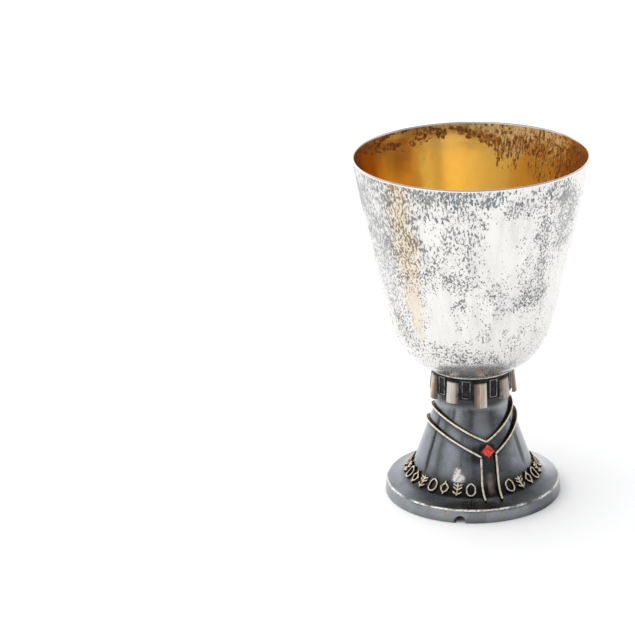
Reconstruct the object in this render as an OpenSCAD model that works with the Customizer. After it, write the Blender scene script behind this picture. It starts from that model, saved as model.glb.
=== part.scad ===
// Communion chalice: silver cup with a gilt inside, on an oxidised silver foot.
// Origin: centre of the foot, on the table. +Z up. The front (red stone) faces -Y.
// Angles round the foot are counted from the front, positive towards +X.

/* [Cup] */
// Height from the table to the lip
total_h = 170; // [160:1:185]
// Outer radius at the lip
lip_r = 56; // [52:0.5:60]
// Outer radius of the wall where the bowl starts to turn under
turn_r = 39.7; // [38:0.1:42]
// Height of the start of that turn
turn_z = 91.5; // [88:0.5:95]
// Thickness of the cup's wall
cup_wall = 1.1; // [0.8:0.1:1.6]

/* [Collar] */
// Height of the flat seat under the cup
seat_z = 65.6; // [65:0.2:68]
// Radius of the seat disc
seat_r = 21; // [20:0.5:22]
// Thickness of the seat disc
seat_t = 0.6; // [0.5:0.1:1]
// Outer radius of the collar drum
drum_r = 19.2; // [18.5:0.1:19.6]
// Wall thickness of the collar drum
drum_wall = 1.8; // [1.2:0.1:2.4]
// Number of stone bars round the collar
bar_n = 9; // [7:1:10]
// Width of a stone bar
bar_w = 6.2; // [5:0.1:7]
// Thickness of a stone bar at its top, in the middle of its face
bar_t = 1.2; // [1:0.1:2]
// How far a bar's face leans outwards from top to bottom, in degrees
bar_lean = 6.5; // [0:0.5:9]
// Angle from the front to the first stone bar
bar_start = -5; // [-20:0.1:20]
// Width of the wire frame in each gap between the bars
frame_w = 3.9; // [3.4:0.1:4.6]
// Thickness of that wire
frame_wire = 0.4; // [0.3:0.05:0.6]

/* [Foot] */
// Outer radius of the foot on the table
foot_r = 42.6; // [41:0.2:44]
// Height of the vertical band round the foot
band_h = 5.9; // [5:0.1:6.4]
// Wall thickness of that band
band_wall = 2.2; // [1.6:0.1:3]
// Thickness of the foot's metal sheet
sheet = 1.1; // [0.8:0.1:1.5]
// Outer radius of the cone where the flare starts
knee_r = 28.3; // [27:0.1:29]
// Height of the start of the flare
knee_z = 16; // [15:0.5:17]
// Outer radius near the top of the cone, below the collar
neck_r = 18.2; // [17.6:0.1:18.8]
// Height of that radius
neck_z = 45; // [44:0.5:46]

/* [Wires and stone] */
// Width of the band wires
wire_w = 0.9; // [0.7:0.05:1.2]
// Height of the wires above the metal they are soldered to
wire_h = 1.6; // [1:0.1:2]
// Side of the square red stone
gem_w = 5; // [4.6:0.1:5]
// Height of the red stone's centre
gem_z = 28.9; // [28.6:0.1:29]

/* [Ornament] */
// Angle between two motifs round the flare
motif_step = 12; // [11:0.5:12]
// Height of the motifs above the metal
motif_h = 1.1; // [0.8:0.1:1.4]
// Width of the motifs' wire
motif_w = 0.75; // [0.6:0.05:0.9]

/* [Hidden] */
$fn = 96;
steps = 10;

// heights of the collar
drum_z0 = 53.5;
drum_z1 = seat_z - seat_t;
drum_floor = 2;
bar_top = 62.2;
bar_len = [12.0, 9.6, 10.9, 10.2, 11.7, 9.9, 11.2, 11.5, 10.2];
bar_crown_r = 5.6;
frame_z0 = 54.4;
frame_z1 = 63.4;
frame_proud = 0.35;

// hidden stud and nut that clamp the cup to the foot
stud_d = 6;
stud_clear_d = 6.6;
plate_t = 2;
stud_end = 43.5;
washer_d = 14;
washer_t = 1;
nut_af = 10;
nut_h = 5;

// foot
cone_top_r = 16.8;
edge_r = foot_r - 0.5;
edge_t = 0.8;
notch_a = -24.7;
notch_d = 5.2;
notch_z = 1.1;

// band wires: height = z0 + slope * x + bend * x^2, x measured sideways from the front
upper_left = [33.75, 0.46, 0.0055];
upper_right = [33.8, 0.50, 0.008];
lower_left = [25.2, 0.555, 0.001];
lower_right = [25.8, 0.50, 0.0085];

// upright wires: distance from the middle where they leave the lower wire, and at the end
upright_left = [3.2, 4.4];
upright_right = [4.0, 3.8];
upright_end = 9;

// red stone
gem_a = 0.6;
gem_rise = 2.4;
gem_table = 0.62;
bezel_wall = 0.25;
bezel_rise = 1.3;

// ornament: the middle of the row on the flare, and its tilt
motif_r = 31.2;
motif_z = 12.2;
motif_tilt = 41;
motif_first = 18;
motif_last = 162;
motif_tall = 7;

// ---- outlines ----

function bez(p, t) =
    pow(1 - t, 3) * p[0] + 3 * t * pow(1 - t, 2) * p[1]
    + 3 * t * t * (1 - t) * p[2] + pow(t, 3) * p[3];
function bez_dir(p, t) =
    pow(1 - t, 2) * (p[1] - p[0]) + 2 * t * (1 - t) * (p[2] - p[1]) + t * t * (p[3] - p[2]);
// unit vector to the right of the direction of travel, scaled by d
function side(v, d) = d * [v[1], -v[0]] / norm(v);
// points along a curve, moved sideways by d
function run(p, d, t0 = 0) =
    [for (i = [t0:steps]) bez(p, i / steps) + side(bez_dir(p, i / steps), d)];

// cup: a nearly straight wall, then the bowl's turn to its seat
cup_side = [[lip_r, total_h], [lip_r - 4.6, total_h - 27], [turn_r + 5.6, turn_z + 24], [turn_r, turn_z]];
cup_turn = [[turn_r, turn_z], [turn_r - 4.0, turn_z - 15], [seat_r + 10.5, seat_z + 5.8], [seat_r, seat_z]];

function cup_outline(d) = concat(run(cup_side, d), run(cup_turn, d, 1));

// foot: the flare from the band's edge up to the cone, then the cone and its neck
cone_slope = (knee_r - neck_r) / (neck_z - knee_z);
flare = [
    [edge_r, band_h + edge_t],
    [edge_r - 6.5, band_h + edge_t + 0.9],
    [knee_r + 6 * cone_slope, knee_z - 6],
    [knee_r, knee_z]];
neck = [
    [neck_r, neck_z],
    [neck_r - 2 * cone_slope, neck_z + 2],
    [cone_top_r, drum_z0 - 4],
    [cone_top_r, drum_z0]];

function foot_outline(d) = concat(run(flare, d), run(neck, d));
function reversed(a) = [for (i = [len(a) - 1:-1:0]) a[i]];

// radius of the straight cone at a height
function cone_r(z) = knee_r - (z - knee_z) * cone_slope;

// solid of the foot's outside, down to the table
module foot_outside() {
    rotate_extrude()
        polygon(concat([[0, 0], [edge_r, 0]], foot_outline(0), [[0, drum_z0]]));
}

// skin of thickness h that lies on the foot's outside
module foot_skin(h) {
    rotate_extrude()
        polygon(concat(foot_outline(0), reversed(foot_outline(h))));
}

// ---- cup ----

module cup_shell() {
    color("gainsboro")
        rotate_extrude($fn = 144)
            polygon(concat(
                [[0, seat_z]], reversed(cup_outline(0)),
                [for (p = cup_outline(cup_wall)) [p[0], min(max(p[1], seat_z + cup_wall), total_h)]],
                [[0, seat_z + cup_wall]]));
}

module cup_seat() {
    color("silver")
        translate([0, 0, seat_z - seat_t])
            cylinder(r = seat_r, h = seat_t);
}

module cup_stud() {
    color("darkgray")
        translate([0, 0, stud_end])
            cylinder(d = stud_d, h = drum_z1 - stud_end);
}

// ---- collar ----

module collar_drum() {
    color("dimgray")
        difference() {
            translate([0, 0, drum_z0])
                cylinder(r = drum_r, h = drum_z1 - drum_z0);
            translate([0, 0, drum_z0 + drum_floor])
                cylinder(r = drum_r - drum_wall, h = drum_z1 - drum_z0);
            translate([0, 0, drum_z0 - 1])
                cylinder(d = stud_clear_d, h = drum_floor + 2);
        }
}

// the bars' lengths repeat once their list is used up
function bar_tall(i) = bar_len[i % len(bar_len)];

// bar with a crowned face that leans outwards, cut to sit on the drum
module stone_bar(i) {
    z0 = bar_top - bar_tall(i);
    color("rosybrown")
        rotate([0, 0, bar_start + i * 360 / bar_n])
            difference() {
                intersection() {
                    translate([-bar_w / 2, -drum_r - 5, z0])
                        cube([bar_w, 8, bar_tall(i)]);
                    translate([0, -drum_r - bar_t, bar_top])
                        rotate([-bar_lean, 0, 0])
                            translate([0, bar_crown_r, -20])
                                cylinder(r = bar_crown_r, h = 24);
                }
                translate([0, 0, z0 - 1])
                    cylinder(r = drum_r, h = bar_tall(i) + 2);
            }
}

// rectangular wire frame on the drum, midway between two bars
module niche_frame(i) {
    tall = frame_z1 - frame_z0;
    color("lightslategray")
        rotate([0, 0, bar_start + (i + 0.5) * 360 / bar_n])
            intersection() {
                difference() {
                    translate([0, 0, frame_z0])
                        cylinder(r = drum_r + frame_proud, h = tall);
                    translate([0, 0, frame_z0 - 1])
                        cylinder(r = drum_r, h = tall + 2);
                }
                difference() {
                    translate([-frame_w / 2, -drum_r - 2, frame_z0])
                        cube([frame_w, 6, tall]);
                    translate([frame_wire - frame_w / 2, -drum_r - 3, frame_z0 + frame_wire])
                        cube([frame_w - 2 * frame_wire, 8, tall - 2 * frame_wire]);
                }
            }
}

// ---- foot ----

module foot_cone() {
    inside = [for (p = foot_outline(-sheet)) if (p[0] < foot_r - band_wall - 0.3) p];
    color("slategray")
        rotate_extrude()
            polygon(concat(
                foot_outline(0),
                reversed(inside),
                [[foot_r - band_wall - 0.3, band_h], [edge_r, band_h]]));
}

module foot_top_plate() {
    color("gray")
        translate([0, 0, drum_z0 - plate_t])
            difference() {
                cylinder(r = cone_top_r - sheet - 0.05, h = plate_t);
                translate([0, 0, -1])
                    cylinder(d = stud_clear_d, h = plate_t + 2);
            }
}

module foot_band() {
    inner_r = foot_r - band_wall;
    color("lightslategray")
        difference() {
            rotate_extrude()
                polygon([[inner_r, 0], [foot_r, 0], [edge_r, band_h], [inner_r, band_h]]);
            rotate([0, 0, notch_a])
                translate([0, -foot_r, notch_z])
                    rotate([90, 0, 0])
                        cylinder(d = notch_d, h = 3 * band_wall, center = true);
        }
}

// ---- band wires ----

function wire_at(c, x) = c[0] + c[1] * x + c[2] * x * x;
// height of the wire's section, measured upright
function wire_tall(c, x) = wire_w * sqrt(1 + pow(c[1] + 2 * c[2] * x, 2));

// outline of one arm in the XZ plane, from x0 outwards; lift moves both edges
function arm(c, x0, low, high) =
    let (xs = [for (i = [0:6]) x0 + i * (24 - x0) / 6])
    concat(
        [for (x = xs) [x, wire_at(c, x) + low * wire_tall(c, x)]],
        [for (x = reversed(xs)) [x, wire_at(c, x) + high * wire_tall(c, x)]]);

// an outline drawn seen from the front, cut through the foot's skin, front and back
module cut_skin(depth = 60) {
    intersection() {
        foot_skin(wire_h);
        translate([0, depth / 2, 0])
            rotate([90, 0, 0])
                linear_extrude(height = depth)
                    children();
    }
}

module band_arm(c, x0, mirrored) {
    color("palegoldenrod")
        cut_skin()
            mirror([mirrored, 0, 0])
                polygon(arm(c, x0, -0.5, 0.5));
}

module upper_wire_left() { band_arm(upper_left, 0, 1); }
module upper_wire_right() { band_arm(upper_right, 0, 0); }
module lower_wire_left() { band_arm(lower_left, upright_left[0] - wire_w / 2, 1); }
module lower_wire_right() { band_arm(lower_right, upright_right[0] - wire_w / 2, 0); }

// upright wire from the lower band wire c down over the flare; x gives its top and its end
module upright_wire(c, x, mirrored, back) {
    half = wire_w / 2;
    color("palegoldenrod")
        rotate([0, 0, back])
            intersection() {
                foot_skin(wire_h);
                rotate([90, 0, 0])
                    linear_extrude(height = 50)
                        mirror([mirrored, 0, 0])
                            polygon([
                                [x[1] - half, upright_end],
                                [x[1] + half, upright_end],
                                [x[0] + half, wire_at(c, x[0] + half) - wire_tall(c, x[0]) / 2],
                                [x[0] - half, wire_at(c, x[0] - half) - wire_tall(c, x[0]) / 2]]);
            }
}

module front_upright_left() { upright_wire(lower_left, upright_left, 1, 0); }
module front_upright_right() { upright_wire(lower_right, upright_right, 0, 0); }
module back_upright_left() { upright_wire(lower_right, upright_right, 1, 180); }
module back_upright_right() { upright_wire(lower_left, upright_left, 0, 180); }

// ---- red stone ----

// moves a shape onto the cone's front: its +Z becomes the metal's outward normal
module on_cone(z) {
    rotate([0, 0, gem_a])
        translate([0, -cone_r(z), z])
            rotate([90 - atan(cone_slope), 0, 0])
                children();
}

module red_stone() {
    half = gem_w / 2;
    top = half * gem_table;
    outline = [[-half, 0], [half, 0], [half, bezel_rise], [top, gem_rise], [-top, gem_rise], [-half, bezel_rise]];
    color("orangered")
        difference() {
            on_cone(gem_z)
                rotate([0, 0, 45])
                    intersection() {
                        rotate([90, 0, 0])
                            linear_extrude(height = 2 * gem_w, center = true)
                                polygon(outline);
                        rotate([90, 0, 90])
                            linear_extrude(height = 2 * gem_w, center = true)
                                polygon(outline);
                    }
            foot_outside();
        }
}

module stone_bezel() {
    outer = gem_w + 2 * bezel_wall;
    color("darkgray")
        difference() {
            on_cone(gem_z)
                rotate([0, 0, 45])
                    difference() {
                        translate([-outer / 2, -outer / 2, -1])
                            cube([outer, outer, bezel_rise + 1]);
                        translate([-gem_w / 2, -gem_w / 2, -2])
                            cube([gem_w, gem_w, bezel_rise + 4]);
                    }
            foot_outside();
        }
}

// ---- ornament ----

// every motif of one kind, round both halves of the flare
module motif_row(kind) {
    places = [for (a = [motif_first:motif_step:motif_last]) a];
    intersection() {
        foot_skin(motif_h);
        union() {
            for (s = [-1, 1])
                for (i = [0:len(places) - 1])
                    if (i % 3 == kind)
                        rotate([0, 0, s * places[i]])
                            translate([0, -motif_r, motif_z])
                                rotate([90 - motif_tilt, 0, 0])
                                    linear_extrude(height = 8, center = true)
                                        children();
        }
    }
}

// pointed leaf drawn with one wire round its edge
module leaf_outline() {
    tall = motif_tall / 2;
    wide = 2.4;
    inner_tall = tall - 1.7 * motif_w;
    inner_wide = wide - motif_w;
    difference() {
        polygon([[0, -tall], [wide * 0.8, -tall * 0.5], [wide, 0], [wide * 0.75, tall * 0.5],
            [0, tall], [-wide * 0.75, tall * 0.5], [-wide, 0], [-wide * 0.8, -tall * 0.5]]);
        polygon([[0, -inner_tall], [inner_wide, 0], [0, inner_tall], [-inner_wide, 0]]);
    }
}

// ear of grain: a stem with three pairs of slanting leaves
module ear_outline() {
    tall = motif_tall / 2;
    translate([-motif_w / 2, -tall])
        square([motif_w, motif_tall]);
    for (y = [-0.9, 0.9, 2.7])
        for (s = [0, 1])
            mirror([s, 0])
                translate([0, y - 1.1])
                    polygon([[0, 0], [0, -motif_w], [2.3, 0.7], [2.3, 0.7 + motif_w]]);
}

// lozenge with a small stroke above and below
module lozenge_outline() {
    tall = 2.7;
    wide = 2.4;
    difference() {
        polygon([[0, -tall], [wide, 0], [0, tall], [-wide, 0]]);
        polygon([[0, 1.5 * motif_w - tall], [wide - 1.3 * motif_w, 0],
            [0, tall - 1.5 * motif_w], [1.3 * motif_w - wide, 0]]);
    }
    for (y = [-motif_tall / 2, tall - 0.3])
        translate([-motif_w / 2, y])
            square([motif_w, motif_tall / 2 - tall + 0.3]);
}

module leaf_wires() { color("palegoldenrod") motif_row(0) leaf_outline(); }
module ear_wires() { color("palegoldenrod") motif_row(1) ear_outline(); }
module lozenge_wires() { color("palegoldenrod") motif_row(2) lozenge_outline(); }

// ---- hidden fixing ----

module retaining_washer() {
    color("silver")
        translate([0, 0, drum_z0 - plate_t - washer_t])
            difference() {
                cylinder(d = washer_d, h = washer_t);
                translate([0, 0, -1])
                    cylinder(d = stud_clear_d, h = washer_t + 2);
            }
}

module retaining_nut() {
    color("goldenrod")
        translate([0, 0, drum_z0 - plate_t - washer_t - nut_h])
            difference() {
                cylinder(d = nut_af / cos(30), h = nut_h, $fn = 6);
                translate([0, 0, -1])
                    cylinder(d = stud_d, h = nut_h + 2);
            }
}

// ---- assembly ----

cup_shell();
cup_seat();
cup_stud();
collar_drum();
for (i = [1:bar_n]) stone_bar(i - 1);
for (i = [1:bar_n]) niche_frame(i - 1);
foot_cone();
foot_top_plate();
foot_band();
upper_wire_left();
upper_wire_right();
lower_wire_left();
lower_wire_right();
front_upright_left();
front_upright_right();
back_upright_left();
back_upright_right();
red_stone();
stone_bezel();
leaf_wires();
ear_wires();
lozenge_wires();
retaining_washer();
retaining_nut();
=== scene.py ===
"""Communion chalice: silver cup with a gilt inside on an oxidised silver foot.

Lengths are in metres. Heights run up from the table, and angles go round the foot from the
front (-Y, where the red stone is), positive towards +X.
"""

import math
from statistics import NormalDist

import bpy
import numpy as np
from mathutils import Matrix, Vector, noise


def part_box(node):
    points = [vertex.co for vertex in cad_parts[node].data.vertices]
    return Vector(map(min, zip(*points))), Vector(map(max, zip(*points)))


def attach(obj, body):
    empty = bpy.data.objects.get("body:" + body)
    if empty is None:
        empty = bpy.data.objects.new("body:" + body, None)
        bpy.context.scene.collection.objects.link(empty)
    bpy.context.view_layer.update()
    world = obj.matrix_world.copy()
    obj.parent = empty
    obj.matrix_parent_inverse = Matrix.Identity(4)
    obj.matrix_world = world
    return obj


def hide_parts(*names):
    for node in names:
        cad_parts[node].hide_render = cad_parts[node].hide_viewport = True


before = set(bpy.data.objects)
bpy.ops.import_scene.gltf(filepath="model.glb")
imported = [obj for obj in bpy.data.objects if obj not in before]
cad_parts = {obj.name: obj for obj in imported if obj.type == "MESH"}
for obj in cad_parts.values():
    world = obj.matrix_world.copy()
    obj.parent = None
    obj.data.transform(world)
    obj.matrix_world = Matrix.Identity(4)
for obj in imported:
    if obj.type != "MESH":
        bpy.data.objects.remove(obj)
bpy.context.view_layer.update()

MM = 0.001
LOW, HIGH = 0, 1


def node_box(name):
    """The node's lowest and highest corners, in millimetres."""
    low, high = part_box(name)
    return Vector(low) / MM, Vector(high) / MM


# ---- sizes read from the frame, in millimetres ----

cup_box = node_box("cup_shell")
seat_box = node_box("cup_seat")
drum_box = node_box("collar_drum")
cone_box = node_box("foot_cone")
band_box = node_box("foot_band")

LIP_R, LIP_Z = cup_box[HIGH].x, cup_box[HIGH].z
SEAT_R, SEAT_Z = seat_box[HIGH].x, seat_box[HIGH].z
SEAT_T = seat_box[HIGH].z - seat_box[LOW].z
DRUM_R = drum_box[HIGH].x
DRUM_Z0, DRUM_Z1 = drum_box[LOW].z, drum_box[HIGH].z
FOOT_R, BAND_H = band_box[HIGH].x, band_box[HIGH].z
EDGE_R, EDGE_Z = cone_box[HIGH].x, BAND_H + 0.8

CUP_WALL = 1.1
SHEET = 1.1
# where the cup's side turns in, where the cone meets its flare, and where its neck begins
TURN_R, TURN_Z = 39.7, 91.5
KNEE_R, KNEE_Z = 28.3, 16.0
NECK_R, NECK_Z = 18.2, 45.0
CONE_TOP_R = 16.8
STUD_HOLE_R = 3.3
CONE_SLOPE = (KNEE_R - NECK_R) / (NECK_Z - KNEE_Z)


# ---- curves and meshes ----

def bezier(points, count):
    """Points along a cubic curve, both ends included."""
    p = np.array(points, float)
    t = np.linspace(0, 1, count)[:, None]
    return ((1 - t) ** 3 * p[0] + 3 * t * (1 - t) ** 2 * p[1]
            + 3 * t * t * (1 - t) * p[2] + t ** 3 * p[3])


def chain(*curves):
    """Joins curves end to end, without the doubled point at each joint."""
    return np.vstack([curves[0]] + [c[1:] for c in curves[1:]])


def offset(curve, distance):
    """Moves a curve to the right of its direction of travel."""
    way = np.gradient(curve, axis=0)
    way /= np.linalg.norm(way, axis=1)[:, None]
    return curve + distance * np.stack([way[:, 1], -way[:, 0]], axis=1)


def new_piece(name, points, faces, zones=None, sharp=35):
    """A smooth mesh object from points in millimetres; zones are material numbers per face."""
    mesh = bpy.data.meshes.new(name)
    mesh.from_pydata([tuple(p) for p in np.asarray(points) * MM], [], faces)
    mesh.validate()
    if zones is not None:
        mesh.polygons.foreach_set("material_index", zones)
    mesh.update()
    mesh.shade_smooth()
    mesh.set_sharp_from_angle(angle=math.radians(sharp))
    piece = bpy.data.objects.new(name, mesh)
    bpy.context.scene.collection.objects.link(piece)
    return piece


def dress(piece, slot, *materials):
    """Gives a piece its materials and its body; the slot is not used."""
    for finish in materials:
        piece.data.materials.append(finish)
    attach(piece, "root")


def set_attribute(piece, name, values):
    """Stores one number per point for the piece's material to read."""
    attribute = piece.data.attributes.new(name, "FLOAT", "POINT")
    attribute.data.foreach_set("value", np.asarray(values, np.float32))


def revolve(name, outline, count, zones=None, shape=None):
    """Turns an outline of (radius, height) points round Z; shape may move the points."""
    outline = np.asarray(outline, float)
    angles = np.arange(count) * 2 * math.pi / count
    rings = len(outline)
    points = np.zeros((rings, count, 3))
    points[:, :, 0] = outline[:, :1] * np.sin(angles)
    points[:, :, 1] = -outline[:, :1] * np.cos(angles)
    points[:, :, 2] = outline[:, 1:]
    points = points.reshape(-1, 3)
    if shape:
        points = shape(points)
    number = np.arange(rings * count).reshape(rings, count)
    if np.allclose(outline[0], outline[-1]):
        number[-1] = number[0]
    for end in (0, -1):
        if outline[end][0] < 1e-6:
            number[end] = number[end][0]
    faces = [tuple(dict.fromkeys(face)) for face in sheet(np.c_[number, number[:, 0]])]
    face_zones = np.repeat(zones, count).tolist() if zones else None
    used = sorted({v for face in faces for v in face})
    renumber = {v: n for n, v in enumerate(used)}
    faces = [tuple(renumber[v] for v in face) for face in faces]
    return new_piece(name, points[used], faces, face_zones)


def sheet(grid):
    """Four-sided faces between neighbours in a grid of point numbers."""
    grid = np.asarray(grid).tolist()
    return [(a[k], a[k + 1], b[k + 1], b[k])
            for a, b in zip(grid, grid[1:]) for k in range(len(a) - 1)]


def ease(x, low, high):
    """0 below low, 1 above high, smooth between."""
    t = np.clip((np.asarray(x, float) - low) / (high - low), 0, 1)
    return t * t * (3 - 2 * t)


def noise_at(points, size, seed=0):
    """Smooth noise from -1 to 1 at points in millimetres; size is that of a patch."""
    shift = Vector((17.3, 5.1, 9.7)) * seed
    return np.array([noise.noise(Vector(p) / size + shift) for p in points])


def round_the_foot(points):
    """Angle from the front in degrees, radius and height of each point."""
    angle = np.degrees(np.arctan2(points[:, 0], -points[:, 1]))
    return angle, np.hypot(points[:, 0], points[:, 1]), points[:, 2]


def pushed(points, push):
    """Moves points out from the axis, each by its own number of millimetres."""
    _, radius, _ = round_the_foot(points)
    scale = 1 + np.divide(push, radius, out=np.zeros_like(push), where=radius > 1)
    return points * np.stack([scale, scale, np.ones_like(scale)], 1)


def points_of(piece):
    """The piece's points, in millimetres."""
    flat = np.zeros(len(piece.data.vertices) * 3)
    piece.data.vertices.foreach_get("co", flat)
    return flat.reshape(-1, 3) / MM


# ---- material nodes ----

class Nodes:
    """Short calls for building a node tree."""

    def __init__(self, tree):
        self.tree = tree
        tree.nodes.clear()

    def add(self, kind, inputs=None, **settings):
        node = self.tree.nodes.new(kind)
        for name, value in settings.items():
            setattr(node, name, value)
        for name, value in (inputs or {}).items():
            self.put(node.inputs[name], value)
        return node

    def put(self, socket, value):
        if isinstance(value, bpy.types.NodeSocket):
            self.tree.links.new(value, socket)
        elif isinstance(value, tuple) and len(value) == 3 and socket.type == "RGBA":
            socket.default_value = (*value, 1)
        else:
            socket.default_value = value

    def math(self, operation, a, b=0.0, c=0.0):
        return self.add("ShaderNodeMath", {0: a, 1: b, 2: c}, operation=operation).outputs[0]

    def smooth(self, value, low, high, to_low=0.0, to_high=1.0):
        inputs = {"Value": value, "From Min": low, "From Max": high,
                  "To Min": to_low, "To Max": to_high}
        node = self.add("ShaderNodeMapRange", inputs, interpolation_type="SMOOTHSTEP")
        return node.outputs["Result"]

    def mix(self, share, a, b, blend="MIX"):
        node = self.add("ShaderNodeMix", data_type="RGBA", blend_type=blend)
        self.put(node.inputs[0], share)
        self.put(node.inputs[6], a)
        self.put(node.inputs[7], b)
        return node.outputs[2]

    def place(self, stretch=(1, 1, 1)):
        """Object coordinates in millimetres, stretched."""
        where = self.add("ShaderNodeTexCoord").outputs["Object"]
        scale = tuple(s / MM for s in stretch)
        mapping = self.add("ShaderNodeMapping", {"Vector": where, "Scale": scale})
        return mapping.outputs["Vector"]

    def noise(self, size, detail=2.0, rough=0.5, stretch=(1, 1, 1), twist=0.0):
        """Noise from 0 to 1 with patches of the given size in millimetres."""
        inputs = {"Vector": self.place(stretch), "Scale": 1 / size, "Detail": detail,
                  "Roughness": rough, "Distortion": twist}
        return self.add("ShaderNodeTexNoise", inputs).outputs[0]

    def attribute(self, name):
        return self.add("ShaderNodeAttribute", attribute_name=name).outputs["Fac"]

    def ramp(self, value, stops):
        node = self.add("ShaderNodeValToRGB", {"Fac": value})
        elements = node.color_ramp.elements
        while len(elements) < len(stops):
            elements.new(0.5)
        for element, (at, colour) in zip(elements, stops):
            element.position = at
            element.color = (*colour, 1)
        return node.outputs["Color"]

    def bump(self, height, depth, strength=1.0, after=None):
        """A bump of the given depth in millimetres."""
        inputs = {"Height": height, "Distance": depth * MM, "Strength": strength}
        if after:
            inputs["Normal"] = after
        return self.add("ShaderNodeBump", inputs).outputs["Normal"]

    def surface(self, **inputs):
        named = {name.replace("_", " "): value for name, value in inputs.items()}
        shader = self.add("ShaderNodeBsdfPrincipled", named)
        output = self.add("ShaderNodeOutputMaterial")
        self.tree.links.new(shader.outputs[0], output.inputs["Surface"])


def material(name):
    """A new material and the short calls for its nodes."""
    made = bpy.data.materials.new(name)
    made.use_nodes = True
    return made, Nodes(made.node_tree)


# ---- materials ----

FLAKE_SPREAD = 0.08


def clouded_metal(name, colours, cloud, marks, depth, rough, metallic=1.0):
    """Metal in cloudy colours with small marks; cloud and marks describe their noise."""
    made, n = material(name)
    colour = n.ramp(n.noise(*cloud), colours)
    dents = n.bump(n.noise(*marks), depth)
    n.surface(Base_Color=colour, Metallic=metallic, Roughness=rough, Normal=dents)
    return made


def silver_outside():
    """Polished silver with grey flakes of tarnish, as many as the attributes ask for."""
    made, n = material("silver_speckled")
    drawn = n.noise(0.95, 3, 0.6, (1, 1, 0.45))
    blotched = n.noise(0.95, 4, 0.6, (1, 1, 0.8))
    speck = n.mix(n.attribute("drips"), blotched, drawn)
    over = n.math("SUBTRACT", speck, n.attribute("limit"))
    flake = n.smooth(over, -0.008, 0.016)
    share = n.attribute("share")
    grey = n.ramp(n.noise(1.6, 3), [(0.36, (0.17, 0.18, 0.18)), (0.64, (0.36, 0.36, 0.355))])
    grey = n.mix(n.attribute("blue"), grey, (0.19, 0.215, 0.24))
    grey = n.mix(n.attribute("pale"), grey, (0.50, 0.50, 0.50))
    streaks = n.noise(5, 4, 0.65, (1, 1, 0.12))
    clean = n.ramp(streaks, [(0.30, (0.68, 0.67, 0.66)), (0.46, (0.78, 0.765, 0.74)),
                             (0.66, (0.83, 0.815, 0.785))])
    clean = n.mix(n.smooth(share, 0.2, 0.9, 0.0, 0.5), clean, (0.58, 0.58, 0.58))
    warm = n.attribute("warm")
    clean = n.mix(warm, clean, (0.74, 0.61, 0.41))
    grey = n.mix(warm, grey, (0.27, 0.20, 0.125))
    colour = n.mix(flake, clean, grey)
    rough = n.smooth(flake, 0, 1, 0.26, 0.45)
    marks = n.bump(n.noise(7, 2), 0.08)
    lines = n.bump(n.noise(0.5, 2, 0.5, (1, 1, 0.06)), 0.004, 0.7, marks)
    pits = n.bump(flake, 0.02, 0.6, lines)
    n.surface(Base_Color=colour, Metallic=1.0, Roughness=rough, Normal=pits)
    return made


def lip_silver():
    """The worn edge, where silver and gilding meet."""
    colours = [(0.3, (0.93, 0.80, 0.72)), (0.7, (0.96, 0.9, 0.85))]
    return clouded_metal("lip_worn", colours, (3, 3), (1.2, 3), 0.02, 0.24)


def gilding():
    """Gold inside the cup, stained brown below the lip down to a dripping edge."""
    made, n = material("gilt_inside")
    runs = n.noise(0.9, 3, 0.6, (1, 1, 0.14))
    blots = n.noise(1.7, 4, 0.65)
    speck = n.mix(n.attribute("runs"), blots, runs)
    over = n.math("SUBTRACT", speck, n.attribute("brown_limit"))
    brown = n.smooth(over, -0.012, 0.03)
    mottled = n.noise(1.3, 4, 0.7, (1, 1, 0.6))
    veil = n.math("ADD", n.attribute("veil"), n.math("SUBTRACT", mottled, 0.5))
    veil = n.smooth(veil, 0.25, 0.75)
    gold = n.ramp(n.noise(18, 3, 0.5, (1, 1, 0.4)),
                  [(0.3, (0.95, 0.66, 0.23)), (0.7, (0.99, 0.73, 0.30))])
    specks = n.smooth(n.noise(0.9, 2), 0.70, 0.74)
    gold = n.mix(n.math("MULTIPLY", specks, 0.5), gold, (0.45, 0.2, 0.05))
    tan = n.ramp(mottled, [(0.38, (0.42, 0.24, 0.08)), (0.52, (0.78, 0.52, 0.20)),
                           (0.66, (0.88, 0.68, 0.36))])
    crusty = n.ramp(mottled, [(0.36, (0.12, 0.03, 0.008)), (0.50, (0.34, 0.12, 0.02)),
                              (0.64, (0.74, 0.38, 0.09))])
    crusty = n.mix(n.math("MULTIPLY", n.attribute("amber"), 0.7), crusty, (0.17, 0.05, 0.01))
    colour = n.mix(veil, gold, tan)
    colour = n.mix(n.attribute("amber"), colour, (0.80, 0.38, 0.07))
    colour = n.mix(brown, colour, crusty)
    dull = n.math("MAXIMUM", brown, veil)
    rough = n.smooth(dull, 0, 1, 0.16, 0.42)
    metal = n.smooth(dull, 0, 1, 1.0, 0.55)
    dents = n.bump(n.noise(8, 2), 0.06)
    crust = n.bump(n.math("MULTIPLY", brown, mottled), 0.03, 0.6, dents)
    n.surface(Base_Color=colour, Metallic=metal, Roughness=rough, Normal=crust)
    return made


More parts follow.
